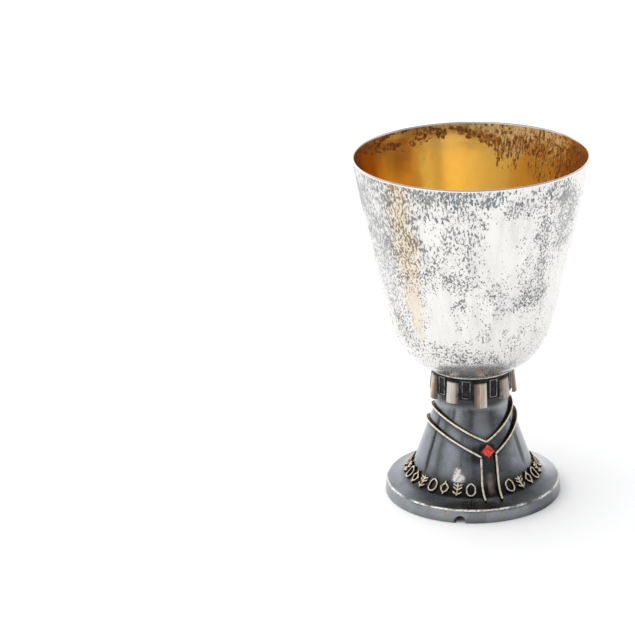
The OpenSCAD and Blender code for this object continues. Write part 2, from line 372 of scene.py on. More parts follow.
def oxidised(name, dark, light, rough=0.34):
    """Blue-grey oxidised silver with cloudy wear, lightened by painted light and darkened by patina
    and painted shade where the attributes ask.
    """
    made, n = material(name)
    cloud = n.noise(9, 5, 0.6)
    grain = n.noise(0.8, 3, 0.6, (1, 1, 0.25))
    blend = n.math("ADD", n.math("MULTIPLY", cloud, 0.8), n.math("MULTIPLY", grain, 0.25))
    colour = n.ramp(blend, [(0.35, dark), (0.7, light)])
    tint = n.ramp(n.noise(6, 3), [(0.35, (0.92, 1.0, 0.94)), (0.5, (1, 1, 1)),
                                  (0.65, (0.96, 0.94, 1.08))])
    colour = n.mix(0.8, colour, tint, "MULTIPLY")
    # Painted light: lighter grey where the attribute asks for it.
    colour = n.mix(n.attribute("painted_light"), colour, (0.46, 0.47, 0.48))
    # Patina, painted shade and painted dark reflections, all laid as near-black.
    black = n.attribute("patina_and_shade")
    colour = n.mix(black, colour, (0.030, 0.028, 0.027))
    colour = n.mix(n.attribute("rust"), colour, (0.34, 0.26, 0.225))
    worn = n.attribute("worn")
    bare = n.ramp(n.noise(1.1, 3), [(0.36, (0.42, 0.34, 0.31)), (0.50, (0.92, 0.90, 0.87))])
    colour = n.mix(worn, colour, bare)
    metal = n.smooth(worn, 0.2, 0.9, 1.0, 0.45)
    scratch = n.noise(0.35, 2, 0.5, (1, 1, 0.08))
    roughness = n.smooth(cloud, 0.3, 0.7, rough - 0.05, rough + 0.08)
    roughness = n.math("ADD", roughness, n.math("MULTIPLY", black, 0.17))
    dents = n.bump(n.noise(6, 2), 0.03)
    lines = n.bump(scratch, 0.003, 0.5, dents)
    pits = n.bump(n.noise(0.7, 3), 0.01, 0.4, lines)
    n.surface(Base_Color=colour, Metallic=metal, Roughness=roughness, Normal=pits)
    return made


def blackened():
    """Deep black oxide with browner, rubbed places."""
    colours = [(0.35, (0.012, 0.012, 0.013)), (0.6, (0.035, 0.034, 0.034)),
               (0.78, (0.12, 0.085, 0.06))]
    return clouded_metal("blackened_silver", colours, (2.2, 4, 0.6), (0.5, 3), 0.02, 0.42)


def painted_light_metal(name, dark, middle, light):
    """The rubbed gilt top of a wire, its light colours a painted highlight, with small dark places
    and file marks; also the setting's dark red, a painted reflection of the stone.
    """
    colours = [(0.32, dark), (0.44, middle), (0.62, light)]
    return clouded_metal(name, colours, (1.6, 4, 0.65), (0.6, 2), 0.01, 0.32, 0.6)


def wire_side():
    """The wire's oxidised flank, darkened further as painted shade."""
    colours = [(0.4, (0.03, 0.018, 0.010)), (0.65, (0.20, 0.125, 0.07))]
    return clouded_metal("wire_flank", colours, (0.9, 3), (0.4, 2), 0.01, 0.45)


def frame_metal():
    """Rubbed grey wire, with the marks of drawing it."""
    colours = [(0.35, (0.05, 0.05, 0.05)), (0.65, (0.34, 0.34, 0.34))]
    return clouded_metal("frame_wire_grey", colours, (2.5, 3), (0.4, 2), 0.008, 0.3)


def banded_stone():
    """Polished stone: upright bands of taupe, cream, brown and mauve."""
    made, n = material("banded_stone")
    fine = n.noise(0.7, 2, 0.5, (1, 1, 0.05), 0.2)
    speckle = n.noise(0.5, 3, 0.6)
    bands = n.math("ADD", n.math("MULTIPLY_ADD", fine, 0.36, -0.18), n.attribute("band"))
    colour = n.ramp(bands, [(0.0, (0.07, 0.035, 0.02)), (0.20, (0.22, 0.125, 0.08)),
                            (0.36, (0.38, 0.215, 0.11)), (0.44, (0.70, 0.55, 0.41)),
                            (0.50, (0.30, 0.20, 0.18)), (0.56, (0.54, 0.47, 0.40)),
                            (0.66, (0.42, 0.355, 0.31)), (0.75, (0.62, 0.56, 0.49)),
                            (1.0, (0.80, 0.76, 0.70))])
    colour = n.mix(n.smooth(speckle, 0.3, 0.8, 0.0, 0.25), colour, (0.42, 0.34, 0.29))
    # Painted shade: one side of the bar darkened as if in shadow.
    colour = n.mix(n.attribute("painted_side_shade"), colour, (0.06, 0.035, 0.025))
    chips = n.bump(n.noise(1.3, 3), 0.02)
    n.surface(Base_Color=colour, Roughness=0.3, Coat_Weight=0.5, Coat_Roughness=0.12,
              Normal=chips)
    return made


def carnelian(name, dark, middle, light):
    """Opaque red stone, clouded."""
    made, n = material(name)
    colour = n.ramp(n.noise(2.2, 3, 0.5), [(0.35, dark), (0.52, middle), (0.70, light)])
    n.surface(Base_Color=colour, Roughness=0.16, Coat_Weight=0.8, Coat_Roughness=0.05,
              Subsurface_Weight=0.15, Subsurface_Scale=0.001)
    return made


def turned_metal(name, dark, light):
    """Plain turned metal with tool marks, for the seat and the hidden fixings."""
    tool_marks = (0.4, 2, 0.5, (1, 1, 3))
    return clouded_metal(name, [(0.35, dark), (0.65, light)], (2.0, 4), tool_marks, 0.01, 0.35)


# ---- cup ----

def cup_outline():
    """Radius and height along the cup's outside, from the lip down."""
    wall = bezier([(LIP_R, LIP_Z), (LIP_R - 4.6, LIP_Z - 27),
                   (TURN_R + 5.6, TURN_Z + 24), (TURN_R, TURN_Z)], 90)
    turn = bezier([(TURN_R, TURN_Z), (TURN_R - 4.0, TURN_Z - 15),
                   (SEAT_R + 10.5, SEAT_Z + 5.8), (SEAT_R, SEAT_Z)], 60)
    return chain(wall, turn)


# Share of the cup's outside covered by grey flakes of tarnish; the patch at -14 degrees and 72 mm
# also lays a painted dark reflection of the collar under the bowl. Later patches lie over earlier
# ones.
# Each patch: angle from the front, height, half width in degrees, half height in mm, share
TARNISH_AND_DARK_REFLECTION = [
    (-80, 160, 34, 16, 0.6), (-72, 134, 18, 24, 0.54), (-68, 106, 12, 24, 0.40),
    (-45, 140, 10, 26, 0.48), (-45, 112, 5, 10, 0.28), (-24, 142, 18, 24, 0.36),
    (-38, 148, 5, 8, 0.12), (-36, 104, 9, 16, 0.02), (-30, 166, 46, 6, 0.56), (-24, 122, 9, 5, 0.40),
    (-4, 166, 6, 5, 0.72), (6, 113, 14, 8, 0.30), (12, 137, 26, 30, 0.20),
    (25, 138, 6, 24, 0.44), (8, 140, 12, 14, 0.02), (-4, 138, 6, 14, 0.06),
    (12, 140, 4, 3, 0.14), (10, 160, 8, 5, 0.46), (8, 168, 8, 2, 0.12), (30, 163, 16, 7, 0.40),
    (42, 148, 10, 18, 0.55), (22, 113, 13, 6.5, 0.50), (0, 117, 9, 5, 0.44), (9, 119, 4, 4, 0.10),
    (18, 131, 4, 5, 0.26), (38, 118, 6, 5, 0.10), (56, 110, 20, 24, 0.03), (0, 96, 30, 9, 0.03),
    (-24, 111, 4, 3.5, 0.46), (-8, 97, 5, 5, 0.30), (5, 91, 3, 2, 0.32), (14, 88, 5, 4, 0.30),
    (20, 95, 5, 3, 0.26), (-22, 98, 5, 3, 0.26), (-40, 84, 22, 6, 0.28), (-22, 88, 8, 5, 0.22),
    (-26, 80, 6, 4, 0.36), (-12, 81, 7, 4, 0.42), (1, 80, 5, 3, 0.42), (-54, 104, 5, 14, 0.07),
    (-54, 144, 6, 22, 0.46), (-14, 72, 40, 4.8, 0.5), (120, 150, 30, 18, 0.34),
    (165, 128, 22, 26, 0.04), (205, 152, 18, 20, 0.42), (150, 100, 26, 8, 0.3),
    (180, 166, 80, 4, 0.45), (235, 110, 16, 24, 0.05), (110, 106, 14, 18, 0.04)]


# Where the flakes are bluish or pale, and where the silver is stained warm, in the same way
BLUE = [(-47, 166, 4, 4, 0.8), (-26, 164, 3, 5, 0.9), (-17, 165, 4, 4, 0.8), (-4, 166, 5, 5, 1.0),
        (-75, 166, 14, 4, 0.5)]
PALE = [(-84, 140, 20, 40, 0.6), (44, 140, 16, 24, 0.5), (0, 69, 70, 8, 0.9)]
WARM = [(-55, 140, 10, 44, 0.3), (-54, 145, 5, 30, 0.66), (-54, 104, 4.4, 15, 0.52)]

# Brown deposit inside the cup below the lip, the tan veil over its gold, its long runs and the
# deeper gold at its sides, in the same way
RUN_SPREAD = 0.072
BROWN = [
    (96, 163, 20, 13, 0.84), (108, 155, 9, 8, 0.66), (130, 168, 36, 4, 0.40), (113, 152, 4, 8, 0.9),
    (118, 149, 7, 6, 0.4), (126, 150, 5, 5, 0.35),
    (123, 161, 7, 6, 0.6), (119, 153, 4, 5, 0.5), (130, 160, 8, 6, 0.68), (143, 158, 9, 7, 0.7),
    (143, 151, 6, 3.5, 0.45), (133, 155, 4.5, 2, 0.05), (151, 160.5, 4.5, 2.8, 0.92),
    (156, 162, 4.5, 2.2, 0.95), (162, 164.4, 4.5, 2.2, 0.95), (168, 166.4, 4.5, 2.2, 0.92),
    (155, 167.5, 8, 1.8, 0.35), (173.5, 168, 2, 2, 0.6), (179, 165, 3.5, 2.8, 0.95),
    (185, 167, 3.5, 2, 0.85), (190, 164.5, 5, 3.2, 0.7), (194, 161.5, 3.5, 2, 0.6),
    (204, 160.5, 4, 2, 0.45), (207, 163, 5, 1.7, 0.8), (213, 163.2, 8, 1.7, 0.9),
    (221, 166, 6, 3.5, 0.7), (204, 169.2, 24, 1.1, 0.75), (216, 168.4, 12, 1.8, 0.8),
    (232, 167.5, 12, 3, 0.75),
    (250, 166, 14, 3, 0.4), (-70, 168, 30, 2, 0.3), (-20, 169, 26, 1.4, 0.2),
    (30, 168, 28, 2, 0.3), (66, 165, 14, 5, 0.4)]
VEIL = [(112, 163, 12, 7, 0.5), (136, 166.5, 26, 4.5, 0.9), (142, 159, 11, 5, 0.65),
        (158, 168, 8, 2.5, 0.6), (188, 152, 7, 12, 0.3), (198, 166, 18, 3, 0.3)]
RUNS = [(128, 154, 25, 12, 1.0)]
AMBER = [(88, 150, 24, 24, 0.75), (250, 150, 30, 24, 0.65), (200, 167, 36, 4, 0.7)]


def broken(points, rough):
    """Angle, and height, of each point, shifted about so that patches get ragged edges."""
    angle, _, height = round_the_foot(points)
    angle = angle + rough * (noise_at(points, 9, 1) + 0.6 * noise_at(points, 4, 2))
    height = height + rough * (noise_at(points, 9, 3) + 0.6 * noise_at(points, 4, 4))
    return angle, height


def painted(points, base, patches, rough=4.0):
    """One number per point: the base, with soft-edged patches laid over it in turn."""
    angle, height = broken(points, rough)
    value = np.full(len(points), float(base))
    for at, level, wide, tall, share in patches:
        turn = np.abs((angle - at + 180) % 360 - 180) / wide
        away = (turn ** 3 + np.abs((height - level) / tall) ** 3) ** (1 / 3)
        value += (share - value) * (1 - ease(away, 0.65, 1.2))
    return value


def make_cup():
    """Raised cup: its outside, rolled lip and inside are one skin with a zone for each."""
    outside = cup_outline()
    inside = offset(outside, CUP_WALL)
    inside = inside[(inside[:, 1] < LIP_Z - 0.5) & (inside[:, 1] > SEAT_Z + CUP_WALL)]
    outside = outside[outside[:, 1] < LIP_Z - 0.5]
    middle = (outside[0] + inside[0]) / 2
    half = np.linalg.norm(outside[0] - inside[0]) / 2
    lean = math.atan2(outside[0][1] - middle[1], outside[0][0] - middle[0])
    arc = np.array([middle + half * np.array((math.cos(lean + t), math.sin(lean + t)))
                    for t in np.linspace(0, math.pi, 9)[1:-1]])
    arc[:, 1] += LIP_Z - arc[:, 1].max()
    under = [(0, SEAT_Z), (SEAT_R * 0.5, SEAT_Z)]
    floor = [(inside[-1][0] * f, SEAT_Z + CUP_WALL) for f in (0.97, 0.8, 0.5, 0.2, 0)]
    outline = np.vstack([under, outside[::-1], arc, inside, floor])
    n_out, n_lip = len(under) + len(outside), len(arc)
    zones = [0] * (n_out - 1) + [1] * (n_lip + 1) + [2] * (len(outline) - n_out - n_lip - 1)

    def hand_raised(points):
        _, radius, height = round_the_foot(points)
        push = 0.09 * (noise_at(points, 14, 5) - 1) + 0.035 * (noise_at(points, 5, 6) - 1)
        return pushed(points, push * ease(radius, 15, 25) * (1 - ease(height, LIP_Z - 5, LIP_Z)))

    piece = revolve("cup", outline, 320, zones, hand_raised)
    paint_outside(piece)
    paint_inside(piece)
    dress(piece, "silver", silver_outside(), lip_silver(), gilding())
    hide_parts("cup_shell")


def paint_outside(piece):
    """Where the cup's silver is tarnished, bluish, pale or stained warm, with a painted dark
    reflection of the collar under the bowl.
    """
    points = points_of(piece)
    angle, _, height = round_the_foot(points)
    share = painted(points, 0.14, TARNISH_AND_DARK_REFLECTION)
    share = share * (1 + 0.6 * noise_at(points, 6, 7) + 0.35 * noise_at(points, 20, 8))
    share = np.clip(share, 0.006, 0.85)
    set_attribute(piece, "share", share)
    normal = NormalDist(0.5, FLAKE_SPREAD)
    set_attribute(piece, "limit", [normal.inv_cdf(1 - s) for s in share])
    drips = ease(height, 118, 150) * (1 - ease(angle, -12, 6)) + 0.7 * ease(height, 155, 165)
    set_attribute(piece, "drips", np.clip(drips, 0, 1))
    set_attribute(piece, "blue", painted(points, 0, BLUE, 2.0))
    set_attribute(piece, "pale", painted(points, 0, PALE))
    warm = painted(points, 0, WARM, 3.0)
    set_attribute(piece, "warm", warm * (1 + 0.35 * noise_at(points, 5, 13)))


def paint_inside(piece):
    """Where the cup's gilding is crusted brown, veiled or amber."""
    points = points_of(piece)
    brown = painted(points, 0.0, BROWN, 1.2) * (1 + 0.4 * noise_at(points, 3, 12))
    normal = NormalDist(0.5, RUN_SPREAD)
    brown_limit = [normal.inv_cdf(1 - b) for b in np.clip(brown, 0.0005, 0.97)]
    set_attribute(piece, "brown_limit", brown_limit)
    set_attribute(piece, "runs", painted(points, 0, RUNS, 1.5))
    set_attribute(piece, "veil", painted(points, 0, VEIL, 1.5))
    set_attribute(piece, "amber", painted(points, 0, AMBER, 2.0))


# ---- foot ----

def foot_outline():
    """Radius and height along the foot's outside, from the edge up."""
    flare = bezier([(EDGE_R, EDGE_Z), (EDGE_R - 6.5, EDGE_Z + 0.9),
                    (KNEE_R + 6 * CONE_SLOPE, KNEE_Z - 6), (KNEE_R, KNEE_Z)], 48)
    cone = np.linspace((KNEE_R, KNEE_Z), (NECK_R, NECK_Z), 40)
    neck = bezier([(NECK_R, NECK_Z), (NECK_R - 2 * CONE_SLOPE, NECK_Z + 2),
                   (CONE_TOP_R, DRUM_Z0 - 4), (CONE_TOP_R, DRUM_Z0)], 16)
    return chain(flare, cone, neck)


SKIN = foot_outline()
SKIN_WAY = np.gradient(SKIN, axis=0)
SKIN_WAY /= np.linalg.norm(SKIN_WAY, axis=1)[:, None]


def skin_at(height):
    """Radius of the foot's outside at a height, and its outward normal as (radial, up)."""
    radius = np.interp(height, SKIN[:, 1], SKIN[:, 0])
    along = (np.interp(height, SKIN[:, 1], SKIN_WAY[:, 0]),
             np.interp(height, SKIN[:, 1], SKIN_WAY[:, 1]))
    size = math.hypot(*along)
    return radius, (along[1] / size, -along[0] / size)


def on_foot(angle, height, lift=0.0):
    """Point on the foot's outside, raised along its normal, and that normal."""
    radius, (out, up) = skin_at(height)
    a = math.radians(angle)
    way = Vector((math.sin(a), -math.cos(a), 0))
    normal = way * out + Vector((0, 0, up))
    return way * radius + Vector((0, 0, height)) + normal * lift, normal


# Painted dark reflections, upright streaks on the cone: angle, height, half width, half height,
# strength
DARK_REFLECTION_STREAKS = [(-70.5, 28, 2.6, 16, 0.85), (-56, 30, 2.2, 14, 0.3), (-29, 30, 2.2, 9, 0.45),
           (-13, 27.5, 6, 4.5, 0.85), (-46, 44, 3, 5, 0.6), (-19, 43, 3.5, 5, 0.5),
           (48.5, 30, 4.5, 14, 0.7), (14, 24, 2, 8, 0.35),
           (100, 30, 3, 14, 0.4), (128, 28, 2, 14, 0.3), (160, 32, 4, 14, 0.3),
           (205, 30, 3, 16, 0.4)]


def make_foot():
    """Spun cone with its flare, of one sheet."""
    outside = foot_outline()
    inside = offset(outside, -SHEET)
    rim_r = FOOT_R - 2.5
    inside = inside[inside[:, 0] < rim_r]
    edge = [(EDGE_R - 0.05, BAND_H + 0.02), (EDGE_R, BAND_H + 0.35), (EDGE_R - 0.1, EDGE_Z - 0.08)]
    outline = np.vstack([edge, outside[1:], inside[::-1], [(rim_r, BAND_H + 0.02)], edge[:1]])

    def hand_made(points):
        return pushed(points, 0.05 * (noise_at(points, 10, 9) - 1) * ease(points[:, 2], 10, 20))

    piece = revolve("foot", outline, 256, shape=hand_made)
    paint_foot(piece)
    metal = oxidised("foot_oxidised", (0.20, 0.21, 0.225), (0.34, 0.355, 0.375), 0.17)
    dress(piece, "foot_silver", metal)
    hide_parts("foot_cone")


def paint_foot(piece):
    """Where the foot is rubbed bright, smudged, darkened by patina and by painted shade and dark
    reflections, and lightened by painted light.
    """
    points = points_of(piece)
    angle, radius, height = round_the_foot(points)
    edge_worn = ease(radius, EDGE_R - 1.0, EDGE_R - 0.3) * (height > BAND_H + 0.3)
    edge_worn = edge_worn * np.clip(0.75 + 1.5 * noise_at(points, 6, 10), 0, 1)
    bare = painted(points, 0, [(-32, 18.9, 3.8, 2.4, 1.0), (-30.5, 16.9, 6.8, 1.9, 0.9)], 0.8)
    set_attribute(piece, "worn", np.clip(edge_worn + bare, 0, 1))
    rust = painted(points, 0, [(1, 14.5, 3.2, 4, 0.9)], 1.5) * (0.8 + 0.6 * noise_at(points, 3, 16))
    set_attribute(piece, "rust", np.clip(rust, 0, 1))
    # Patina round the ornament, kept to the front, where it also stands for a painted dark
    # reflection.
    round_ornament = ease(height, 8, 9.6) * (1 - ease(height + noise_at(points, 7, 15), 12, 22))
    front = 0.5 + 0.5 * np.cos(np.radians(angle + 5))
    disc = 1 - ease(height, 8, 12)
    # Painted dark reflection on the front of the cone, round the stone and between the uprights.
    painted_front_reflection = [(0, 27.5, 13, 5, 0.97), (0, 20, 9, 8, 0.82), (27, 36, 10, 8, 0.5)]
    # Painted shadow under the collar.
    under_collar = ease(height + 1.2 * noise_at(points, 9, 14), 46.5, 50.5)
    # Darkening from patina round the ornament and along the wires, and painted shade: dark
    # reflections on the front of the flare, disc and cone and in the streaks, shadow under the
    # collar and below the wires.
    patina_and_shade = np.max([round_ornament * front, painted(points, 0, painted_front_reflection, 2.0),
                     disc * ease(front, 0.62, 0.95) * 0.6, 0.9 * under_collar,
                     0.93 * beside_wires(angle, height), painted(points, 0, DARK_REFLECTION_STREAKS, 0.6)], axis=0)
    set_attribute(piece, "patina_and_shade", np.clip(patina_and_shade, 0, 1))
    # Painted light on the disc: lighter at its sides than at its front, much more so on the right.
    painted_light = disc * ease(front, 0.66, 0.3) * np.where(angle > 0, 1.6, 0.15)
    # Painted highlight: a lighter patch at the top of the cone in front.
    set_attribute(piece, "painted_light", painted_light + painted(points, 0, [(-3, 41, 13, 5, 0.55)], 2.0))


def beside_wires(angle, height):
    """1 under the band wires, falling off over 2 mm below them and 1 mm above."""
    near = np.zeros(len(angle))
    turns = np.linspace(4, 176, 60)
    for side, _, *curve in BAND_WIRES.values():
        level = np.interp(side * angle, turns, [wire_height(t, curve) for t in turns])
        above = height - level
        close = np.exp(-(above / np.where(above > 0, 1.2, 2.2)) ** 2)
        near = np.maximum(near, close * (side * angle > 0))
    return near


NOTCH_ANGLE, NOTCH_R, NOTCH_Z = -24.7, 2.6, 1.1


def make_band():
    """Vertical band with rounded edges and one half-round notch at its foot."""
    inner = FOOT_R - 2.2
    outline = [(inner, 0.3), (inner + 0.3, 0.02), (FOOT_R - 0.35, 0.0), (FOOT_R - 0.08, 0.1),
               (FOOT_R, 0.4)]
    outline += [(FOOT_R - 0.5 * t, 0.4 + (BAND_H - 0.8) * t) for t in np.linspace(0.1, 1, 8)]
    outline += [(EDGE_R - 0.15, BAND_H - 0.12), (EDGE_R - 0.4, BAND_H - 0.02),
                (inner + 0.2, BAND_H - 0.02), (inner, BAND_H - 0.3), (inner, 0.3)]
    piece = revolve("band", outline, 256)
    cutter = revolve("notch", [(0, -4), (NOTCH_R, -4), (NOTCH_R, 4), (0, 4)], 48)
    cutter.matrix_world = (Matrix.Rotation(math.radians(NOTCH_ANGLE), 4, "Z")
                           @ Matrix.Translation((0, -FOOT_R * MM, NOTCH_Z * MM))
                           @ Matrix.Rotation(math.pi / 2, 4, "X"))
    cut = piece.modifiers.new("notch", "BOOLEAN")
    cut.object = cutter
    cut.solver = "EXACT"
    bpy.context.view_layer.update()
    result = piece.evaluated_get(bpy.context.evaluated_depsgraph_get())
    whole = bpy.data.meshes.new_from_object(result)
    piece.modifiers.clear()
    piece.data = whole
    bpy.data.objects.remove(cutter)
    whole.shade_smooth()
    whole.set_sharp_from_angle(angle=math.radians(35))
    points = points_of(piece)
    angle, _, height = round_the_foot(points)
    top = ease(height, BAND_H - 0.5, BAND_H - 0.1) * (0.4 + 0.5 * noise_at(points, 6, 11))
    set_attribute(piece, "worn", np.clip(top, 0, 1))
    set_attribute(piece, "rust", painted(points, 0, [(-34, 5, 3, 1, 0.4), (-8, 5, 4, 1, 0.4)], 1.0))
    # Patina on the band, with a painted shadow round the notch.
    patina_and_shade = painted(points, 0.0, [(-14, 3, 6, 8, 0.2), (38, 3, 14, 8, 0.35),
                                   (NOTCH_ANGLE, 1, 4.4, 3.6, 0.95)])
    # Painted shade: darker towards the bottom, at the front.
    patina_and_shade += 0.35 * (1 - ease(height, 0, 3.5)) * ease(np.cos(np.radians(angle)), 0.2, 0.9)
    set_attribute(piece, "patina_and_shade", np.clip(patina_and_shade, 0, 1))
    # Painted light: the band lighter on its left.
    set_attribute(piece, "painted_light", painted(points, 0.0, [(-40, 3, 14, 8, 0.1), (-80, 3, 20, 8, 0.15)]))
    metal = oxidised("band_oxidised", (0.20, 0.21, 0.22), (0.30, 0.315, 0.335), 0.24)
    dress(piece, "band_silver", metal)
    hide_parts("foot_band")


# ---- wires ----

def strip(path, normals, width, height, top_zone=1, closed=False):
    """Points, faces and zones of a wire of rounded-rectangle section laid on a surface."""
    half, soft = width / 2, width * 0.22
    section = [(-half, -0.05), (-half, height - soft), (-half + soft * 0.35, height - soft * 0.3),
               (-half + soft, height), (half - soft, height),
               (half - soft * 0.35, height - soft * 0.3), (half, height - soft), (half, -0.05)]
    # Top faces take material top_zone and the flanks material 0; on the gilt wires these carry a
    # painted highlight and painted shade.
    side_zones = [0, top_zone, top_zone, top_zone, top_zone, top_zone, 0, 0]
    count, turns = len(section), len(path)
    points, faces, zones = [], [], []
    for i, (at, normal) in enumerate(zip(path, normals)):
        before = path[i - 1] if (i or closed) else path[i]
        after = path[(i + 1) % turns] if (i < turns - 1 or closed) else path[i]
        along = (after - before).normalized()
        across = along.cross(normal).normalized()
        up = across.cross(along).normalized()
        points += [at + across * a + up * b for a, b in section]
    for i in range(turns if closed else turns - 1):
        a, b = i * count, (i + 1) % turns * count
        for j in range(count):
            k = (j + 1) % count
            faces.append((a + j, b + j, b + k, a + k))
            zones.append(side_zones[j])
    if not closed:
        faces.append(tuple(range(count)))
        faces.append(tuple(reversed(range((turns - 1) * count, turns * count))))
        zones += [0, 0]
    return points, faces, zones


def join_strips(name, strips):
    """One piece made of several wires."""
    points, faces, zones = [], [], []
    for p, f, z in strips:
        start = len(points)
        points += p
        faces += [tuple(v + start for v in face) for face in f]
        zones += z
    return new_piece(name, [tuple(p) for p in points], faces, zones, 40)


WIRE_W, WIRE_H = 0.9, 1.6
# height = start + slope * x + bend * x * x, x being measured sideways from the front
BAND_WIRES = {
    "upper_wire_left": (-1, 0.0, 33.75, 0.46, 0.0055),
    "upper_wire_right": (1, 0.0, 33.8, 0.50, 0.008),
    "lower_wire_left": (-1, 3.2, 25.2, 0.555, 0.001),
    "lower_wire_right": (1, 4.0, 25.8, 0.50, 0.0085)}
# x where each upright leaves the lower wire, and x and height where it ends
UPRIGHT_LEFT, UPRIGHT_RIGHT = (3.2, 4.4), (4.0, 3.8)
UPRIGHT_END = 8.0
# radius of the cone where the wires meet their uprights
MEETING_R = 25.5


def wire_height(angle, curve):
    """Height on the skin under a band wire whose top edge follows its curve."""
    start, slope, bend = curve
    height = start
    for _ in range(12):
        top = on_foot(angle, height, WIRE_H * 0.8)[0]
        x = abs(top.x)
        height += 0.6 * (start + slope * x + bend * x * x - top.z)
    return height


def make_band_wire(name, side, first_x, *curve):
    """One side's wire of the band, from the front to the back."""
    first = math.degrees(math.asin(first_x / MEETING_R))
    angles = np.linspace(first, 180 - first, 120)
    path, normals = [], []
    for angle in angles:
        at, normal = on_foot(side * angle, wire_height(side * angle, curve))
        path.append(at)
        normals.append(normal)
    wobble = [0.08 * noise.noise(p / 4) for p in path]
    path = [p + Vector((0, 0, w)) for p, w in zip(path, wobble)]
    piece = join_strips(name + "_wire", [strip(path, normals, WIRE_W, WIRE_H)])
    dress(piece, "gilt_wire", WIRE_SIDE, WIRE_TOP)
    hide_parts(name)


def make_upright(name, side, back, curve, reach):
    """Upright wire from the lower band wire down the flare, straight when seen from the front."""
    top_angle = math.degrees(math.asin(reach[0] / MEETING_R))
    top = wire_height(top_angle, curve) - 0.6
    path, normals = [], []
    for height in np.linspace(top, UPRIGHT_END, 50):
        radius, _ = skin_at(height)
        x = np.interp(height, (UPRIGHT_END, top), (reach[1], reach[0]))
        angle = side * math.degrees(math.asin(x / radius)) + back
        at, normal = on_foot(angle, height)
        path.append(at)
        normals.append(normal)
    piece = join_strips(name + "_wire", [strip(path, normals, WIRE_W, WIRE_H)])
    dress(piece, "gilt_wire", WIRE_SIDE, WIRE_TOP)
    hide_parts(name)


def make_wires():
    """The band's four wires and its uprights, which change sides at the back."""
    for name, values in BAND_WIRES.items():
        make_band_wire(name, *values)
    left, right = (BAND_WIRES["lower_wire_" + s][2:] for s in ("left", "right"))
    make_upright("front_upright_left", -1, 0, left, UPRIGHT_LEFT)
    make_upright("front_upright_right", 1, 0, right, UPRIGHT_RIGHT)
    make_upright("back_upright_left", -1, 180, right, UPRIGHT_RIGHT)
    make_upright("back_upright_right", 1, 180, left, UPRIGHT_LEFT)


# ---- wire ornament round the flare ----

MOTIF_R, MOTIF_Z, MOTIF_TALL = 31.2, 12.2, 7.0
MOTIF_WIRE, MOTIF_H = 0.67, 1.1
MOTIF_ANGLES = [18 + 12 * i for i in range(13)]
FLARE_TILT = math.radians(41)


def on_flare(angle, x, y):
    """Point and normal on the flare, x sideways and y up the slope from a motif's middle."""
    height = MOTIF_Z + y * math.cos(FLARE_TILT)
    radius = MOTIF_R - y * math.sin(FLARE_TILT)
    best = min(range(len(SKIN)), key=lambda i: abs(SKIN[i][0] - radius) + abs(SKIN[i][1] - height))
    turn = math.degrees(math.asin(x / radius))
    return on_foot(angle + turn, SKIN[best][1])


def motif_strip(angle, line, closed):
    """A wire along a line of (x, y) points."""
    line = np.array(line, float)
    if closed:
        line = np.vstack([line, line[:1]])
    away = np.r_[0, np.cumsum(np.linalg.norm(np.diff(line, axis=0), axis=1))]
    count = max(6, int(away[-1] / 0.35))
    at = np.linspace(0, away[-1], count, endpoint=not closed)
    spots = np.stack([np.interp(at, away, line[:, i]) for i in (0, 1)], 1)
    laid = [on_flare(angle, x, y) for x, y in spots]
    path, normals = zip(*laid)
    return strip(path, normals, MOTIF_WIRE, MOTIF_H, 1, closed)


def leaf(angle):
    """A pointed loop."""
    t = np.linspace(0, 2 * math.pi, 28, endpoint=False)
    tall, wide = MOTIF_TALL / 2 - 0.4, 2.1
    line = [(wide * math.sin(a) * abs(math.sin(a)) ** 0.25, tall * math.cos(a)) for a in t]
    return [motif_strip(angle, line, True)]


def ear(angle):
    """An ear of grain: a stem with three pairs of curved branches."""
    tall = MOTIF_TALL / 2
    wires = [motif_strip(angle, [(0, -tall + 0.1), (0, tall - 0.1)], False)]
    for y in (-1.9, -0.1, 1.7):
        for s in (-1, 1):
            line = [(s * 0.1, y - 0.3), (s * 1.2, y + 0.3), (s * 2.1, y + 1.1)]
            wires.append(motif_strip(angle, line, False))
    return wires


def lozenge(angle):
    """A lozenge with a short wire above and below it."""
    tall, wide, reach = 2.4, 2.1, MOTIF_TALL / 2
    line = [(0, -tall), (wide, 0), (0, tall), (-wide, 0)]
    return [motif_strip(angle, line, True),
            motif_strip(angle, [(0, tall), (0, reach)], False),
            motif_strip(angle, [(0, -reach), (0, -tall)], False)]


def make_ornament():
    """Leaves, ears and lozenges in turn on both sides, one piece for each kind."""
    for kind, (node, draw) in enumerate((("leaf_wires", leaf), ("ear_wires", ear),
                                         ("lozenge_wires", lozenge))):
        wires = []
        for side in (-1, 1):
            for i, angle in enumerate(MOTIF_ANGLES):
                if i % 3 == kind:
                    wires += draw(side * angle)
        piece = join_strips(node.replace("wires", "ornament"), wires)
        dress(piece, "gilt_wire", WIRE_SIDE, MOTIF_TOP)
        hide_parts(node)


# ---- collar ----

BARS = 9
BAR_START = -5.0
BAR_W, BAR_T, BAR_TOP = 6.2, 1.2, 62.2
BAR_LEAN = math.tan(math.radians(6.5))
BAR_CROWN = 5.6
NICHE_W, NICHE_WIRE, NICHE_H = 4.1, 0.4, 0.35
# Where each bar's stone starts and ends in the run of colours, from its left to its right side,
# and which of the two sides is darkened as painted shade
BAR_BANDS = [(0.02, 0.92, -1), (0.48, 0.70, -1), (0.16, 0.42, 1), (0.30, 0.80, -1),
             (0.85, 0.35, 1), (0.55, 0.75, -1), (0.15, 0.60, 1), (0.90, 0.15, 1), (0.76, 0.64, 1)]


